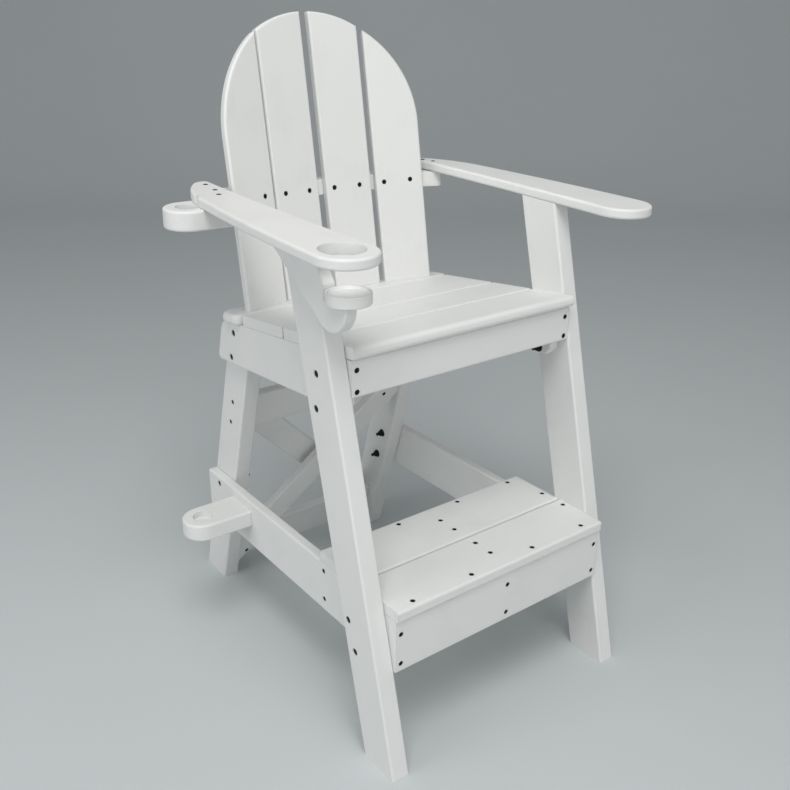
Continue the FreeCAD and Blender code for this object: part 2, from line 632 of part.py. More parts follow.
slat_screws = []
for index in range(1, 5):
    name = f"back_slat_{index}"
    turn = f"{BACK_LEAN} * rotation(vector(0; 1; 0); slat_turn_{index})"
    blank = new_body(name + "_blank")
    pad_outline(blank, name + "_blank", box("-slat_width / 2", "slat_width / 2", BELOW_SEAT,
                                            "arch_spring + arch_radius + slat"),
                "slat", "-back_curve - slat")
    place(blank, CURVE_X, CURVE_Y, CURVE_Z, turn)
    arch = back_tool(name + "_arch", arch_sides, "-back_curve - 3 * slat", "8 * slat")
    arched = doc.addObject("Part::MultiCommon", name + "_arched")
    arched.Shapes = [blank, arch]
    seated = doc.addObject("Part::Cut", name + "_seated")
    seated.Base = arched
    seated.Tool = ground
    doc.recompute()
    rounded = doc.addObject("Part::Fillet", name + "_rounded")
    rounded.Base = seated
    radius = value_of("ease")
    feet = value_of("seat_level - seat_fall * back_y + slat_width / 2")
    picked = [i for i, edge in enumerate(seated.Shape.Edges, start=1)
              if edge.Length > 2 * value_of("slat") and edge.BoundBox.ZMax > feet]
    rounded.Edges = [(i, radius, radius) for i in picked]
    doc.recompute()
    shift = SCREW_SHIFT[index]
    tools = []
    for end in (-1, 1):
        x = f"({shift} + {end} * slat_screw_half)"
        for part_name, size, long in (("recess", "recess", "recess_deep"),
                                      ("hole", "(screw + play)", "2 * slat")):
            cylinder = doc.addObject("Part::Cylinder", f"{name}_{part_name}_{'b' if end > 0 else 'a'}")
            bind(cylinder, "Radius", f"{size} / 2")
            bind(cylinder, "Height", long)
            spot = (f"placement(vector(shift_x + {CURVE_X}; shift_y + {CURVE_Y}; {CURVE_Z}); {turn})"
                    f" * placement(vector({x}; {SLAT_SCREW_S}; -back_curve);"
                    f" rotation(vector(1; 0; 0); 180))")
            bind(cylinder, "Placement", spot)
            tools.append(cylinder)
        slat_screws.append((index, x))
    drilled = doc.addObject("Part::MultiFuse", name + "_drill")
    drilled.Shapes = tools
    slat = doc.addObject("Part::Cut", name + "_piece")
    slat.Base = rounded
    slat.Tool = drilled
    keep(slat, name)
doc.recompute()

# Back rail: a flat board whose front edge follows the slats' rear corners
rail_blank = new_body("back_rail_blank")
rail_corners = box("-rail_half", "rail_half", "back_y - rail_tip", RAIL_REAR)
feature = pad_outline(rail_blank, "back_rail_blank", rail_corners, "rail_high - rail_low")
feature = round_edges(rail_blank, "back_rail_blank_corner", feature,
                      lambda edge: upright(edge) and edge.CenterOfMass.y > value_of(RAIL_REAR) - 1,
                      "rail_corner")
place(rail_blank, 0, 0, "rail_low")
sweep = doc.addObject("Part::Cylinder", "back_rail_curve")
bind(sweep, "Radius", "sqrt((back_curve + slat)^2 + (slat_width / 2)^2)")
bind(sweep, "Height", "2 * back_curve")
sweep_spot = (f"placement(vector(shift_x + {CURVE_X}; shift_y + {CURVE_Y}; {CURVE_Z}); {BACK_LEAN})"
              f" * placement(vector(0; 0 - back_curve / 2; 0); rotation(vector(1; 0; 0); -90))")
bind(sweep, "Placement", sweep_spot)
rail_cut = doc.addObject("Part::Cut", "back_rail_cut")
rail_cut.Base = rail_blank
rail_cut.Tool = sweep
doc.recompute()
rail = doc.addObject("Part::Fillet", "back_rail_piece")
rail.Base = rail_cut
tips = [i for i, edge in enumerate(rail_cut.Shape.Edges, start=1)
        if edge.BoundBox.ZLength > 0.9 * value_of("rail_high - rail_low")
        and edge.CenterOfMass.y - value_of("shift_y") < value_of("back_y + board")]
tip_radius = value_of("rail_corner / 2")
rail.Edges = [(i, tip_radius, tip_radius) for i in tips]
keep(rail, "back_rail")

# Arms: the left one is the right one's outline turned over, with the cup hole
arm_inner_rear = "(arm_inner + 1.5)"
arm_corners = [("arm_inner", "arm_front"),
               ("arm_outer", "arm_front", "(arm_outer - arm_inner) / 2"),
               ("arm_outer - 25", f"{ARM_END} - 142", "5"),
               ("arm_outer - 71", f"{ARM_END} - 15", "9"),
               ("arm_outer - 94", ARM_END, "3"),
               (arm_inner_rear, ARM_END)]
arm_corners[0] = ("arm_inner", "arm_front", "-5")
ARM_SCREWS = {"left": [("rail_half - 11", f"{ARM_END} - 34"), ("ring_inner + 16", "ring_y + 24.5"),
                       ("ring_inner + 28", "ring_y - 14.5")],
              "right": [("rail_half - 20", f"{ARM_END} - 19"), ("rail_half - 11", f"{ARM_END} - 46")]}
ARM_FRAME = f"placement(vector(shift_x; shift_y; {UNDER_ARM}); {ARM_TILT})"
arm_screws = []
for side, sign in SIDES:
    name = side + "_arm"
    body = new_body(name)
    feature = pad_outline(body, name, arm_corners, "arm")
    feature = round_edges(body, name + "_corner", feature,
                          lambda edge: upright(edge) and near(edge, arm_corners[5]), "12")
    feature = round_edges(body, name + "_ease", feature, lambda edge: not upright(edge), "ease")
    if side == "left":
        drill(body, name + "_cup_hole", [("cup_x", "cup_y")], "cup_hole")
        screw_holes(body, name, ARM_SCREWS[side], True)
        turned_over = "placement(vector(0; 0; arm); rotation(vector(0; 1; 0); 180))"
        bind(body, "Placement", f"{ARM_FRAME} * {turned_over}")
    else:
        screw_holes(body, name, ARM_SCREWS[side], False, "arm")
        place(body, 0, 0, UNDER_ARM, ARM_TILT)
    keep(body, name)
    arm_screws += [(f"{sign} * ({x})", y) for x, y in ARM_SCREWS[side]]

# Cup holder: a rimmed disc on a bracket beside the left front leg
disc = new_body("cup_disc")
profile = new_sketch(disc, "cup_disc_profile", 0, "XZ_Plane")
draw_outline(profile, [("0", "0"), ("cup_disc / 2", "0"), ("cup_disc / 2", "arm"),
                       ("cup_disc / 2 - cup_dish", "arm"),
                       ("cup_disc / 2 - cup_dish - 1", "arm - cup_dish"), ("0", "arm - cup_dish")])
spun = disc.newObject("PartDesign::Revolution", "cup_disc_turned")
spun.Profile = profile
spun.ReferenceAxis = (profile, ["V_Axis"])
spun.Angle = 360
doc.recompute()
rim = value_of("cup_disc") / 2
round_edges(disc, "cup_disc_ease", spun,
            lambda edge: edge.Curve.TypeId == "Part::GeomCircle" and abs(edge.Curve.Radius - rim) < 0.01,
            "1.6")
place(disc, "-cup_disc_x", "cup_disc_y", "cup_seat")
keep(disc, "cup_disc")
nose_y, nose_z = "(cup_disc_y + 25)", "(cup_seat - 3.5)"
nose_out_y = f"({nose_y} + bracket_round * sin(33))"
nose_out_z = f"({nose_z} - bracket_round * cos(33))"
disc_back = "(cup_disc_y + cup_disc / 2 + 1.3)"
bracket_corners = [(f"{nose_y} - bracket_round", "cup_seat"),
                   (f"{nose_y} - bracket_round", nose_z),
                   (nose_out_y, nose_out_z, "bracket_round * (1 - cos(61.5))"),
                   ("front_leg_slope * cup_seat + 132", arm_line("front_leg_slope * cup_seat + 132")),
                   ("front_leg_slope * cup_seat - 18", arm_line("front_leg_slope * cup_seat - 18")),
                   (f"{disc_back} + 15", "cup_seat + 47"),
                   (disc_back, "cup_seat + 24"), (disc_back, "cup_seat")]
board("cup_bracket", bracket_corners, "board", ("-half_seat - leg - board", 0, 0), SIDE,
      ease="3", edges=lambda edge: edge.Length > 40)

# Umbrella holders, with the pole's bores
RING_PLACE = ("0", "0", UNDER_ARM, ARM_TILT + TURNED_OVER)
ring_half = "plank / 2"
ring_corners = [("ring_inner", f"ring_y - {ring_half}"), ("umbrella_x", f"ring_y - {ring_half}"),
                ("umbrella_x", f"ring_y + {ring_half}", ring_half), ("ring_inner", f"ring_y + {ring_half}")]
board("umbrella_ring", ring_corners, "leg", RING_PLACE[:3], RING_PLACE[3],
      corner_rounds=[([ring_corners[3]], "20"), ([ring_corners[0]], "20")])
foot_corners = [("half_seat", f"foot_y - {ring_half}"), ("umbrella_x", f"foot_y - {ring_half}"),
                ("umbrella_x", f"foot_y + {ring_half}", ring_half), ("half_seat", f"foot_y + {ring_half}")]
board("umbrella_foot", foot_corners, "leg", (0, 0, "foot_low + leg"), FLAT + TURNED_OVER,
      edges=lambda edge: edge.CenterOfMass.x > value_of("half_seat") + 1)
# The pole leans from the foot's floor to the middle of the ring, and both bores follow it.
POLE_FLOOR = "(foot_low + leg - foot_deep)"
POLE_LEAN = f"atan((foot_y - ring_y) / ({arm_line('ring_y')} - leg / 2 - {POLE_FLOOR}))"
pole_tools = {}
for name, radius in (("ring_bore", "umbrella_bore / 2"), ("foot_bore", "(umbrella_bore - foot_snug) / 2"),
                     ("pole_way", "umbrella_bore / 2 + pole_room")):
    tool = doc.addObject("Part::Cylinder", name)
    bind(tool, "Radius", radius)
    bind(tool, "Height", "1.2 * arm_level")
    place(tool, "-umbrella_x", "foot_y", POLE_FLOOR, f"rotation(vector(1; 0; 0); {POLE_LEAN})")
    pole_tools[name] = tool
doc.recompute()

# Fasteners: one turned screw and one bolt set, repeated by links
def turned(name, corners):
    """A solid turned about its own Z from a half section."""
    body = new_body(name)
    profile = new_sketch(body, name + "_profile", 0, "XZ_Plane")
    draw_outline(profile, corners)
    spin = body.newObject("PartDesign::Revolution", name + "_turned")
    spin.Profile = profile
    spin.ReferenceAxis = (profile, ["V_Axis"])
    spin.Angle = 360
    return body


def screw_master(name, length):
    """A flat-headed screw: the head's top lies recess_deep - head_high under the face."""
    top = "head_high - recess_deep"
    return turned(name, [("0", f"-{length}"), ("screw / 2", f"-{length}"), ("screw / 2", "-recess_deep"),
                         ("screw_head / 2", "-recess_deep"), ("screw_head / 2", top), ("0", top)])


doc.recompute()
short_screw = screw_master("board_screw", "screw_long")
long_screw = screw_master("rail_screw", "rail_screw_long")
arm_screw = screw_master("slat_screw", "slat_screw_long")
bolt_top = "bolt_head_high - bolt_recess_deep"
bolt_stop = "-(leg + board + washer_high + nut_high)"
bolt_body = turned("bolt_turned", [("0", bolt_stop), ("bolt / 2", bolt_stop),
                                   ("bolt / 2", "-bolt_recess_deep"),
                                   ("bolt_head / 2", "-bolt_recess_deep"), ("bolt_head / 2", bolt_top),
                                   ("0", bolt_top)])
washer_body = turned("washer_turned", [("bolt / 2", "-leg - board - washer_high"),
                                       ("washer_wide / 2", "-leg - board - washer_high"),
                                       ("washer_wide / 2", "-leg - board"), ("bolt / 2", "-leg - board")])
nut_body = new_body("nut_hexagon")
nut_flat, nut_point = "nut_wide / 2", "nut_wide / sqrt(3)"
pad_outline(nut_body, "nut_hexagon", [(nut_point, "0"), (f"{nut_point} / 2", nut_flat),
                                      (f"-{nut_point} / 2", nut_flat), (f"-{nut_point}", "0"),
                                      (f"-{nut_point} / 2", f"-{nut_flat}"),
                                      (f"{nut_point} / 2", f"-{nut_flat}")],
            "nut_high", "-(leg + board + washer_high + nut_high)")
drill(nut_body, "nut_thread", [("0", "0")], "bolt", None, "-(leg + board + washer_high + nut_high)")
doc.recompute()


def fastener_group(name, master, placements):
    """One node of separate, identical fasteners."""
    links = []
    for index, spot in enumerate(placements, start=1):
        link = doc.addObject("App::Link", f"{name}_{index}")
        link.LinkedObject = master
        bind(link, "Placement", spot)
        links.append(link)
    group = doc.addObject("Part::Compound", name + "_group")
    group.Links = links
    return keep(group, name)


def at(x, y, z, turn):
    """Placement whose Z points out of the face that a head sits in."""
    return f"placement(vector(shift_x + ({x}); shift_y + ({y}); {z}); {turn})"


OUT_LEFT = "rotation(vector(0; 1; 0); -90)"
OUT_RIGHT = "rotation(vector(0; 1; 0); 90)"


def sideways(sign):
    return OUT_RIGHT if sign > 0 else OUT_LEFT


bolt_spots = [at(x, y, z, sideways(sign)) for x, y, z, sign in bolts]
fastener_group("carriage_bolts", bolt_body, bolt_spots)
fastener_group("washers", washer_body, bolt_spots)
fastener_group("hex_nuts", nut_body, bolt_spots)
fastener_group("front_apron_screws", short_screw,
               [at(x, "apron_front_y", z, FRONT) for x, z in APRON_SCREWS])
fastener_group("riser_screws", short_screw,
               [at(x, "rail_start - board", z, FRONT) for x, z in RISER_SCREWS])
fastener_group("tread_screws", short_screw,
               [at(x, y, "step_high + board", FLAT) for x, y in tread_screws_front + tread_screws_rear])
fastener_group("step_board_screws", short_screw,
               [at(x, y, z, sideways(sign)) for x, y, z, sign in step_board_screws])
fastener_group("brace_rail_screws", long_screw,
               [at(x, y, z, sideways(sign)) for x, y, z, sign in brace_screws])
leg_plane = f"placement(vector(shift_x; shift_y + rear_foot_y; 0); {LEG_TILT})"
fastener_group("brace_screws", arm_screw,
               [f"{leg_plane} * placement(vector({x}; {s}; {height}); rotation(vector(1; 0; 0);"
                f" {0 if in_front else 180}))" for x, s, height, in_front in brace_face_screws])
slat_spots = []
for index, x in slat_screws:
    turn = f"{BACK_LEAN} * rotation(vector(0; 1; 0); slat_turn_{index})"
    slat_spots.append(f"placement(vector(shift_x + {CURVE_X}; shift_y + {CURVE_Y}; {CURVE_Z}); {turn})"
                      f" * placement(vector({x}; {SLAT_SCREW_S}; -back_curve); {FLAT})")
fastener_group("back_screws", arm_screw, slat_spots)
fastener_group("arm_screws", arm_screw,
               [f"{ARM_FRAME} * placement(vector({x}; {y}; arm); rotation(vector(0; 0; 1); 0))"
                for x, y in arm_screws])
doc.recompute()

# The second piece that a screw runs into has a hole of the screw's own size.
BITES = [
    ("back_rail", ["arm_screws", "back_screws"]),
    ("umbrella_ring", ["arm_screws"]),
    ("upper_brace_rail", ["brace_rail_screws", "brace_screws"]),
    ("lower_brace_rail", ["brace_screws"]),
    ("left_side_apron", ["front_apron_screws"]),
    ("right_side_apron", ["front_apron_screws"]),
    ("left_lower_rail", ["riser_screws", "tread_screws"]),
    ("right_lower_rail", ["riser_screws", "tread_screws"]),
    ("riser", ["tread_screws"]),
    ("step_centre_cleat", ["riser_screws", "tread_screws"]),
    ("step_back_board", ["step_board_screws", "tread_screws"]),
]


def cut_node(name, tools):
    """Takes tools away from a node, whose name passes to what is left."""
    piece = next(node for node in NODES if node.Label == name)
    joined = doc.addObject("Part::Compound", name + "_tools")
    joined.Links = tools
    left_over = doc.addObject("Part::Cut", name + "_cut")
    left_over.Base = piece
    left_over.Tool = joined
    NODES.remove(piece)
    piece.Label = name + "_uncut"
    keep(left_over, name)


for name, groups in BITES:
    cut_node(name, [node for node in NODES if node.Label in groups])
cut_node("umbrella_ring", [pole_tools["ring_bore"]])
cut_node("umbrella_foot", [pole_tools["foot_bore"]])
cut_node("left_arm", [pole_tools["pole_way"]])
doc.recompute()

os.makedirs("parts", exist_ok=True)
faults = [item.Name for item in doc.Objects if "Invalid" in item.State or "Error" in item.State]
for node in NODES:
    if node.Shape.isNull() or not node.Shape.isValid() or not node.Shape.Solids:
        faults.append(node.Label)
if faults:
    raise ValueError("faulty: " + ", ".join(faults))
for node in NODES:
    node.Shape.exportStep(f"parts/{node.Label}.step")
print(len(NODES), "nodes")
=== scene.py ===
import math
import bmesh
import bpy
import numpy as np
from mathutils import Matrix, Vector


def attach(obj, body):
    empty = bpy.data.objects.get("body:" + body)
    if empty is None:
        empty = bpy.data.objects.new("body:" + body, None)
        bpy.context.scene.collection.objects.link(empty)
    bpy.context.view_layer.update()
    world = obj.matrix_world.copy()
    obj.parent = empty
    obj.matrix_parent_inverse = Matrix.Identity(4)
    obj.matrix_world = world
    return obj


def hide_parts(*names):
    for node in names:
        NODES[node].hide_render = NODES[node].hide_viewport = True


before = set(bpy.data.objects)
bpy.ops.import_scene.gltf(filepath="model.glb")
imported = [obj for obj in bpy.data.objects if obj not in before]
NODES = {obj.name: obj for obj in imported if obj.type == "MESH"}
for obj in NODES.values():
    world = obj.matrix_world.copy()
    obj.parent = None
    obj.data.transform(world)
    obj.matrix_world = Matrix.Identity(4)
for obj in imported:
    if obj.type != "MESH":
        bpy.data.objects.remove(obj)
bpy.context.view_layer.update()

# Looks of a lifeguard chair of off-white plastic lumber. Lengths are in metres.

scene = bpy.context.scene

# Camera at the photo's viewing angle, in radians: heading from +Y towards +X, pitch down, slight roll
HEADING = 0.647
PITCH = 0.396
ROLL = 0.006
CAMERA_AT = Vector((-1.04978, -1.44860, 1.30290))
LENS_MM = 41.46
SENSOR_MM = 36.0
CLIP_START = 0.05

# Area lights: name, place, size, watts and tint. All aim at the chair's middle.
AIM = Vector((0.0, 0.0, 0.6))
LIGHTS = (
    ("key", (-1.2, -1.5, 3.9), 2.0, 78.0, (1.0, 0.99, 0.98)),
    ("front_fill", (-0.4, -4.2, 1.9), 2.4, 30.0, (1.0, 1.0, 1.0)),
    ("side_fill", (-4.0, 0.3, 1.9), 2.0, 34.0, (0.98, 0.99, 1.0)),
)
WORLD_TINT = (0.93, 0.95, 0.96, 1.0)
WORLD_STRENGTH = 0.36

# Backdrop, from the origin along the camera's heading: a floor, a quarter round and a wall
FLOOR_FROM = -12.0
ROUND_FROM = 4.6
ROUND_RADIUS = 2.6
ROUND_STEPS = 24
WALL_TOP = 9.0
BACKDROP_HALF = 24.0
BACKDROP_COLOURS = (0.57, 0.60, 0.61, 1), (0.60, 0.63, 0.64, 1)

# Plastic lumber
LUMBER_COLOURS = (0.735, 0.745, 0.735, 1), (0.80, 0.805, 0.79, 1)
# Lighter colour along the edges: partly wear, partly a painted highlight where rounded edges catch light
EDGE_WEAR_AND_HIGHLIGHT_COLOUR = (0.86, 0.865, 0.855, 1)
EDGE_ROUND = 0.0022
GRAIN_STRETCH = (0.06, 1.0, 1.0)
GRAIN_SHIFT = (1.7, 0.9, 2.3)

# Directions of the boards that don't run along X
FRONT_LEG_SLOPE = 0.245
REAR_LEG_SLOPE = -0.306
LEAN = math.radians(9.07)
ALONG = {
    "front_leg": (0, FRONT_LEG_SLOPE, 1),
    "rear_leg": (0, REAR_LEG_SLOPE, 1),
    "back_slat": (0, math.sin(LEAN), math.cos(LEAN)),
    "arm": (0, 1, 0.035),
    "side_apron": (0, 1, -0.1),
    "seat_cleat": (0, 1, -0.1),
    "lower_rail": (0, 1, 0),
    "centre_cleat": (0, 1, 0),
    "bracket": (0, 1, 0.6),
    "front_brace": (0.69, -0.21, 0.69),
    "rear_brace": (-0.69, -0.21, 0.69),
}

# Fasteners
# Near-black steel colours: painted shade standing in for the shadow in the bolt and screw recesses
STEEL_PAINTED_SHADE_COLOURS = (0.006, 0.009, 0.008, 1), (0.026, 0.032, 0.029, 1)
CROWN = 0.0028                       # top of a fine head above the plain head's top
PROUD = {"arm_screws": 0.0008}       # heads that stand higher than the others, by this much
HEAD_SHARE = {"riser_screws": 0.80, "tread_screws": 0.88, "carriage_bolts": 1.04}
SCREW_HEAD_HIGH = 0.0024
SCREW_TIP = (0.12, 3.2)              # width of the blunt tip and length of the taper, in shank radii
HEAD_EDGE = ((1.0, 0.0007), (0.95, 0.0002), (0.80, 0.0))         # share of the head's radius, drop
SOCKET = ((0.0036, 0.0), (0.0033, 0.00025), (0.0029, 0.0021))    # width, depth
DOME = 0.0022
DOME_STEPS = (0, 18, 36, 54, 72, 84)
BOLT_HEAD_HIGH = 0.0040
BOLT_HEAD_RIM = 0.0036
BOLT_PAST_NUT = 0.0095
BOLT_END_SHARE = 0.80
THREAD_START = 0.0008
THREAD_PITCH = 0.00125
THREAD_DEEP = 0.0005
THREAD_HOLE = 0.00405
HOLE_CHAMFER = 0.0007
NUT_FLATS = 0.013
NUT_FACE_SHARE = 0.475
NUT_CHAMFER_SLOPE = 0.55
SIDES = {"hex_nuts": 48, "washers": 32}


def add_camera():
    level = math.cos(PITCH)
    ahead = Vector((math.sin(HEADING) * level, math.cos(HEADING) * level, -math.sin(PITCH)))
    right = Vector((math.cos(HEADING), -math.sin(HEADING), 0.0))
    above = right.cross(ahead)
    rolled_right = right * math.cos(ROLL) + above * math.sin(ROLL)
    rolled_above = above * math.cos(ROLL) - right * math.sin(ROLL)
    data = bpy.data.cameras.new("photo_camera")
    data.lens = LENS_MM
    data.sensor_width = SENSOR_MM
    data.sensor_fit = "HORIZONTAL"
    data.clip_start = CLIP_START
    camera = bpy.data.objects.new("photo_camera", data)
    scene.collection.objects.link(camera)
    turn = Matrix((rolled_right, rolled_above, -ahead)).transposed().to_4x4()
    camera.matrix_world = Matrix.Translation(CAMERA_AT) @ turn
    scene.camera = camera


def add_area_light(name, at, size, power, tint):
    data = bpy.data.lights.new(name, "AREA")
    data.size = size
    data.energy = power
    data.color = tint
    light = bpy.data.objects.new(name, data)
    scene.collection.objects.link(light)
    light.location = at
    light.rotation_euler = (AIM - Vector(at)).to_track_quat("-Z", "Y").to_euler()


def add_backdrop():
    """A plain floor that curves up into a wall behind the chair, as seen from the camera."""
    ahead = Vector((math.sin(HEADING), math.cos(HEADING), 0.0))
    aside = Vector((ahead.y, -ahead.x, 0.0))
    profile = [(FLOOR_FROM, 0.0)]
    for step in range(ROUND_STEPS + 1):
        angle = math.radians(90.0 * step / ROUND_STEPS)
        run = ROUND_FROM + ROUND_RADIUS * math.sin(angle)
        profile.append((run, ROUND_RADIUS - ROUND_RADIUS * math.cos(angle)))
    profile.append((ROUND_FROM + ROUND_RADIUS, WALL_TOP))
    points = [ahead * run + aside * side + Vector((0.0, 0.0, rise))
              for run, rise in profile for side in (-BACKDROP_HALF, BACKDROP_HALF)]
    faces = [(first, first + 1, first + 3, first + 2) for first in range(0, 2 * len(profile) - 2, 2)]
    mesh = bpy.data.meshes.new("backdrop")
    mesh.from_pydata(points, [], faces)
    mesh.shade_smooth()
    mesh.materials.append(backdrop_material())
    backdrop = bpy.data.objects.new("backdrop", mesh)
    scene.collection.objects.link(backdrop)


def add_studio():
    """Pale backdrop, a soft key from above and the chair's left, and gentle fills."""
    add_backdrop()
    for light in LIGHTS:
        add_area_light(*light)
    world = bpy.data.worlds.new("studio")
    scene.world = world
    world.use_nodes = True
    background = world.node_tree.nodes["Background"]
    background.inputs["Color"].default_value = WORLD_TINT
    background.inputs["Strength"].default_value = WORLD_STRENGTH
    scene.view_settings.view_transform = "Standard"


def new_material(name):
    material = bpy.data.materials.new(name)
    material.use_nodes = True
    tree = material.node_tree
    tree.nodes.clear()
    output = tree.nodes.new("ShaderNodeOutputMaterial")
    shader = tree.nodes.new("ShaderNodeBsdfPrincipled")
    tree.links.new(shader.outputs["BSDF"], output.inputs["Surface"])
    return material, tree, shader


def object_coords(tree):
    return tree.nodes.new("ShaderNodeTexCoord").outputs["Object"]


def noise(tree, vector, scale, detail=3.0, roughness=0.5):
    node = tree.nodes.new("ShaderNodeTexNoise")
    node.inputs["Scale"].default_value = scale
    node.inputs["Detail"].default_value = detail
    node.inputs["Roughness"].default_value = roughness
    tree.links.new(vector, node.inputs["Vector"])
    return node.outputs["Fac"]


def spread(tree, value, low, high, start=0.3, end=0.7):
    """Maps a value between start and end, by default a noise value around its middle, to a range."""
    node = tree.nodes.new("ShaderNodeMapRange")
    node.inputs["From Min"].default_value = start
    node.inputs["From Max"].default_value = end
    node.inputs["To Min"].default_value = low
    node.inputs["To Max"].default_value = high
    tree.links.new(value, node.inputs["Value"])
    return node.outputs["Result"]


def sum_of(tree, first, second, weight):
    node = tree.nodes.new("ShaderNodeMath")
    node.operation = "MULTIPLY_ADD"
    tree.links.new(second, node.inputs[0])
    node.inputs[1].default_value = weight
    tree.links.new(first, node.inputs[2])
    return node.outputs[0]


def mixed(tree, factor, first, second):
    """Mixes two colours. The first is a colour or another node's output."""
    node = tree.nodes.new("ShaderNodeMix")
    node.data_type = "RGBA"
    tree.links.new(factor, node.inputs["Factor"])
    if isinstance(first, tuple):
        node.inputs["A"].default_value = first
    else:
        tree.links.new(first, node.inputs["A"])
    node.inputs["B"].default_value = second
    return node.outputs["Result"]


def add_bump(tree, shader, height, strength, distance, normal=None):
    node = tree.nodes.new("ShaderNodeBump")
    node.inputs["Strength"].default_value = strength
    node.inputs["Distance"].default_value = distance
    tree.links.new(height, node.inputs["Height"])
    if normal:
        tree.links.new(normal, node.inputs["Normal"])
    tree.links.new(node.outputs["Normal"], shader.inputs["Normal"])


def backdrop_material():
    material, tree, shader = new_material("studio_backdrop")
    clouds = noise(tree, object_coords(tree), 1.2)
    tree.links.new(mixed(tree, clouds, *BACKDROP_COLOURS), shader.inputs["Base Color"])
    shader.inputs["Roughness"].default_value = 0.85
    shader.inputs["Specular IOR Level"].default_value = 0.2
    return material


def mapped(tree, vector, **settings):
    node = tree.nodes.new("ShaderNodeMapping")
    for socket, setting in settings.items():
        node.inputs[socket].default_value = setting
    tree.links.new(vector, node.inputs["Vector"])
    return node.outputs["Vector"]


def edge_wear_and_highlight(tree, rounded):
    """A value that rises where the rounded normal leaves the face's own, along the board's edges; it
    paints the edges lighter, partly as wear and partly as a painted highlight.
    """
    geometry = tree.nodes.new("ShaderNodeNewGeometry")
    facing = tree.nodes.new("ShaderNodeVectorMath")
    facing.operation = "DOT_PRODUCT"
    tree.links.new(rounded, facing.inputs[0])
    tree.links.new(geometry.outputs["Normal"], facing.inputs[1])
    return spread(tree, facing.outputs["Value"], 0.0, 0.55, 0.99, 0.80)


def lumber_material(name, along, seed):
    """Off-white plastic lumber: fine grain drawn out along the board, soft mottling, and edges painted
    lighter, partly as wear and partly as a painted highlight.
    """
    material, tree, shader = new_material(name)
    turn = along.rotation_difference(Vector((1, 0, 0))).to_euler()
    shift = tuple(seed * step for step in GRAIN_SHIFT)
    aligned = mapped(tree, object_coords(tree), Location=shift, Rotation=turn)
    streaks = noise(tree, mapped(tree, aligned, Scale=GRAIN_STRETCH), 260.0, 4.0, 0.6)
    mottle = noise(tree, aligned, 9.0, 3.0, 0.5)
    pores = noise(tree, aligned, 900.0, 2.0, 0.6)

    bevel = tree.nodes.new("ShaderNodeBevel")
    bevel.samples = 4
    bevel.inputs["Radius"].default_value = EDGE_ROUND
    rounded = bevel.outputs["Normal"]

    tone = spread(tree, sum_of(tree, mottle, streaks, 0.45), 0.0, 1.0)
    # Edges painted lighter: partly wear, partly a painted highlight
    worn_and_highlit_tone = mixed(tree, edge_wear_and_highlight(tree, rounded), mixed(tree, tone, *LUMBER_COLOURS), EDGE_WEAR_AND_HIGHLIGHT_COLOUR)
    tree.links.new(worn_and_highlit_tone, shader.inputs["Base Color"])
    tree.links.new(spread(tree, streaks, 0.42, 0.58), shader.inputs["Roughness"])
    shader.inputs["Specular IOR Level"].default_value = 0.42
    add_bump(tree, shader, sum_of(tree, streaks, pores, 0.7), 0.16, 0.0006, rounded)
    return material


def steel_material():
    """Fasteners painted near black, as painted shade for the shadowed recesses they sit in, with a random
    dark mottle.
    """
    material, tree, shader = new_material("fastener_steel")
    stain = noise(tree, object_coords(tree), 420.0, 4.0, 0.65)
    # Near-black colour is painted shade of the recesses; the noise only mottles it at random
    colour = mixed(tree, spread(tree, stain, 0.0, 1.0), *STEEL_PAINTED_SHADE_COLOURS)
    tree.links.new(colour, shader.inputs["Base Color"])
    tree.links.new(spread(tree, stain, 0.40, 0.62), shader.inputs["Roughness"])
    shader.inputs["Metallic"].default_value = 0.3
    shader.inputs["Specular IOR Level"].default_value = 0.12
    add_bump(tree, shader, stain, 0.2, 0.0003)
    return material


def grain_of(name):
    for part, along in ALONG.items():
        if part in name:
            return Vector(along).normalized()
    return Vector((1, 0, 0))


def separate_solids(node):
    """The points of each separate solid in a node's mesh, as arrays."""
    mesh = node.data
    points = np.empty(len(mesh.vertices) * 3)
    mesh.vertices.foreach_get("co", points)
    points = points.reshape(-1, 3)
    spots, same = np.unique(np.round(points, 6), axis=0, return_inverse=True)
    same = same.reshape(-1)
    group = list(range(len(spots)))

    def root(index):
        while group[index] != index:
            group[index] = group[group[index]]
            index = group[index]
        return index

    for polygon in mesh.polygons:
        first = root(same[polygon.vertices[0]])
        for vertex in polygon.vertices[1:]:
            group[root(same[vertex])] = first
    gathered = {}
    for index in range(len(spots)):
        gathered.setdefault(root(index), []).append(index)
    return [spots[members] for members in gathered.values()]


def facing_matrix(at, axis):
    """Matrix with its origin at a point and +Z along an axis."""
    turn = Vector((0, 0, 1)).rotation_difference(Vector(axis)).to_matrix().to_4x4()
    return Matrix.Translation(Vector(at)) @ turn


def headed_place(points):
    """Matrix whose +Z points out of a head, from the head's top, with the head's and the shank's radius
    and the length."""
    centre = points.mean(axis=0)
    axis = np.linalg.svd(points - centre, full_matrices=False)[2][0]
    along = (points - centre) @ axis
    away = np.linalg.norm(points - centre - np.outer(along, axis), axis=1)
    half = (along.max() + along.min()) / 2
    if away[along < half].max() > away[along > half].max():
        axis, along, half = -axis, -along, -half
    place = facing_matrix((centre + axis * along.max()).tolist(), axis.tolist())
    return place, float(away.max()), float(away[along < half].max()), float(along.max() - along.min())


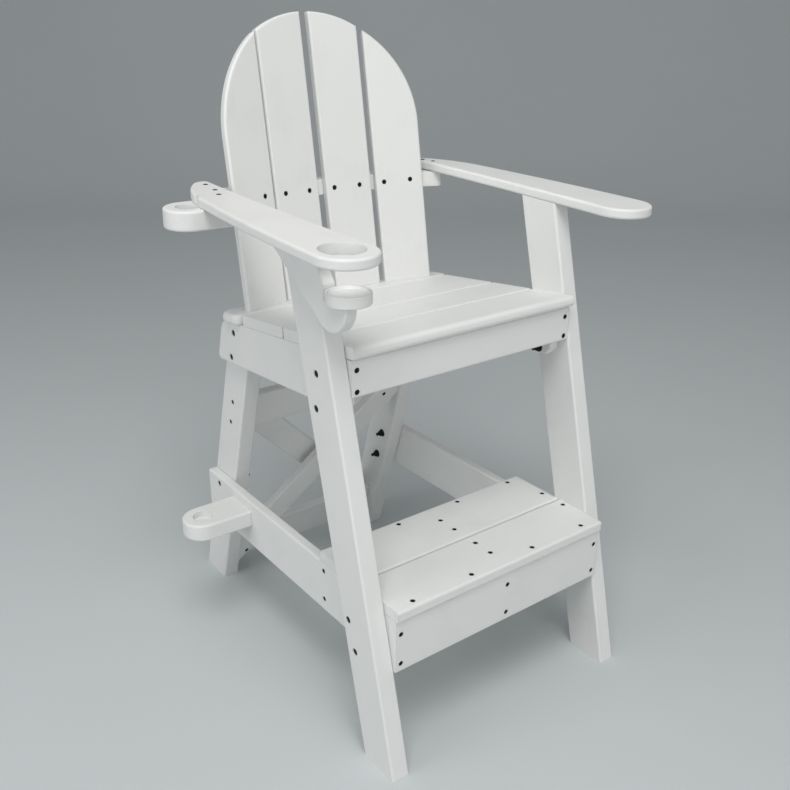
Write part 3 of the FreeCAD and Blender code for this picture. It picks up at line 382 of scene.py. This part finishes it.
def inward_place(points):
    """Matrix whose +Z points to the chair's middle, from a nut's or washer's outer face, with its
    thickness and its width along Y."""
    low, high = points.min(axis=0), points.max(axis=0)
    inward = -1.0 if low[0] > 0 else 1.0
    start = low[0] if inward > 0 else high[0]
    place = facing_matrix((start, (low[1] + high[1]) / 2, (low[2] + high[2]) / 2), (inward, 0, 0))
    return place, float(high[0] - low[0]), float(high[1] - low[1])


def squared(width):
    """Radius by angle of a square with rounded corners."""
    def radius(angle):
        across, up = abs(math.cos(angle)), abs(math.sin(angle))
        return width / 2 / (across ** 7 + up ** 7) ** (1 / 7)
    return radius


def hexagonal(flats):
    """Radius by angle of a hexagon of a width across flats."""
    def radius(angle):
        return flats / 2 / math.cos((angle + math.pi / 6) % (math.pi / 3) - math.pi / 6)
    return radius


def add_rings(build, place, rings, sides=24, pierced=False):
    """Joins rings of points into one closed skin. A ring is a radius, or a radius by angle, and a height,
    or a height by radius. A pierced skin joins its last ring to its first; any other is capped."""
    loops = []
    for size, height in rings:
        loop = []
        for index in range(sides):
            angle = 2 * math.pi * index / sides
            radius = size(angle) if callable(size) else size
            level = height(radius) if callable(height) else height
            spot = Vector((radius * math.cos(angle), radius * math.sin(angle), level))
            loop.append(build.verts.new(place @ spot))
        loops.append(loop)
    if pierced:
        loops.append(loops[0])
    for first, second in zip(loops, loops[1:]):
        for index in range(sides):
            after = (index + 1) % sides
            build.faces.new((first[index], first[after], second[after], second[index])).smooth = True
    if not pierced:
        build.faces.new(reversed(loops[0]))
        build.faces.new(loops[-1])


def screw_rings(head, shank, length, crown):
    """Flat-headed screw with a square driver recess, from the tip to the recess floor."""
    blunt, taper = SCREW_TIP
    return [(shank * blunt, -length), (shank, -length + taper * shank),
            (shank, -SCREW_HEAD_HIGH), (head, -SCREW_HEAD_HIGH),
            *((head * share, crown - drop) for share, drop in HEAD_EDGE),
            *((squared(width), crown - deep) for width, deep in SOCKET)]


def bolt_rings(head, shank, length, crown):
    """Carriage bolt with a low domed head, from the thread's end, past the nut, to the dome."""
    end = -length - BOLT_PAST_NUT
    rings = [(shank * BOLT_END_SHARE, end)]
    for turn in range(int(BOLT_PAST_NUT / THREAD_PITCH)):
        start = end + THREAD_START + turn * THREAD_PITCH
        rings += [(shank, start), (shank, start + 0.25 * THREAD_PITCH),
                  (shank - THREAD_DEEP, start + 0.6 * THREAD_PITCH)]
    rings += [(shank, -length), (shank, -BOLT_HEAD_HIGH), (head * 0.97, -BOLT_HEAD_HIGH),
              (head, -BOLT_HEAD_RIM)]
    for step in DOME_STEPS:
        angle = math.radians(step)
        rings.append((head * math.cos(angle), crown - DOME * (1 - math.sin(angle))))
    return rings


def nut_rings(high):
    """Hexagon nut, chamfered on both faces."""
    face = NUT_FLATS * NUT_FACE_SHARE
    side = hexagonal(NUT_FLATS)

    def drop(radius):
        return max(0.0, radius - face) * NUT_CHAMFER_SLOPE

    return [(THREAD_HOLE, 0.0), (face, 0.0), (side, drop), (side, lambda radius: high - drop(radius)),
            (face, high), (THREAD_HOLE + HOLE_CHAMFER, high), (THREAD_HOLE, high - HOLE_CHAMFER)]


def washer_rings(radius, high):
    """Washer with an eased edge on its inner side."""
    return [(THREAD_HOLE, 0.0), (radius, 0.0), (radius, high * 0.6), (radius * 0.97, high),
            (THREAD_HOLE, high)]


def add_fastener(build, name, points):
    """Adds the fine form of one fastener, in the place and size of its plain solid."""
    if name in SIDES:
        place, high, wide = inward_place(points)
        rings = nut_rings(high) if name == "hex_nuts" else washer_rings(wide / 2, high)
        add_rings(build, place, rings, SIDES[name], True)
    else:
        place, head, shank, length = headed_place(points)
        rings_of = bolt_rings if name == "carriage_bolts" else screw_rings
        head *= HEAD_SHARE.get(name, 1.0)
        add_rings(build, place, rings_of(head, shank, length, CROWN + PROUD.get(name, 0.0)))


def replace_fasteners(name, steel):
    """Builds a node's screws, bolts, nuts or washers again with their fine forms."""
    build = bmesh.new()
    for points in separate_solids(NODES[name]):
        add_fastener(build, name, points)
    bmesh.ops.recalc_face_normals(build, faces=build.faces)
    mesh = bpy.data.meshes.new(name + "_fine")
    build.to_mesh(mesh)
    build.free()
    mesh.materials.append(steel)
    fine = bpy.data.objects.new(name + "_fine", mesh)
    scene.collection.objects.link(fine)
    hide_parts(name)
    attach(fine, "root")


def is_fastener(name):
    return name.endswith("screws") or name in ("carriage_bolts", "washers", "hex_nuts")


def dress_nodes():
    """Each board gets plastic lumber with its own grain; fasteners are built again in steel."""
    steel = steel_material()
    for seed, (name, node) in enumerate(sorted(NODES.items())):
        if is_fastener(name):
            replace_fasteners(name, steel)
            continue
        material = lumber_material("lumber_" + name, grain_of(name), seed)
        for slot in node.material_slots:
            slot.material = material


add_camera()
add_studio()
dress_nodes()
